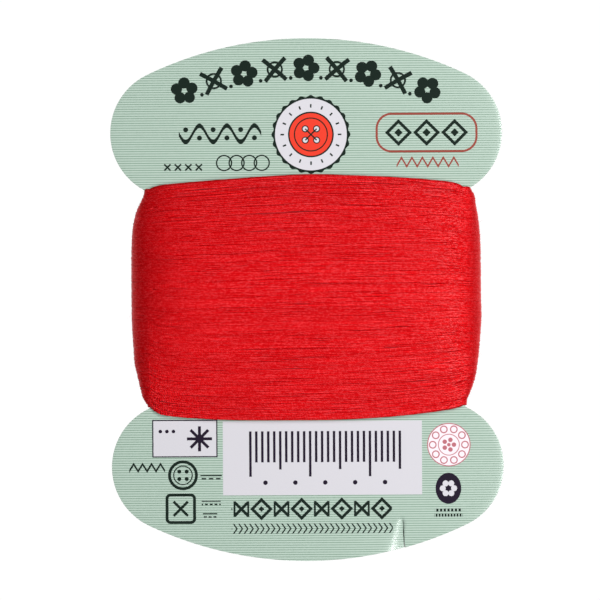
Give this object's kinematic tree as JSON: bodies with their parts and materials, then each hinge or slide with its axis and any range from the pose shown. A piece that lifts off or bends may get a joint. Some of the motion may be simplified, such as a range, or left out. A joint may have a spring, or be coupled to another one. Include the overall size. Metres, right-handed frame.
{
  "type": "card of hand-sewing thread",
  "caption": "Flat die-cut card with two rounded lobes and a notched waist, wound crosswise with red cotton sewing thread.",
  "frame": {"origin": "centre of the card's outline, on the surface that the winding's back rests on", "axes": "+X across the card, +Y up the card, +Z out of its printed face"},
  "size_m": [0.0656, 0.0874, 0.0071],
  "materials": {
    "coated_card": "glossy coated board, pale green with fine printed lines, white cut edge",
    "cotton_thread": "soft lustre, plied cotton, bright red"
  },
  "bodies": {
    "root": {"card": "coated_card", "winding": "cotton_thread"}
  },
  "joints": []
}
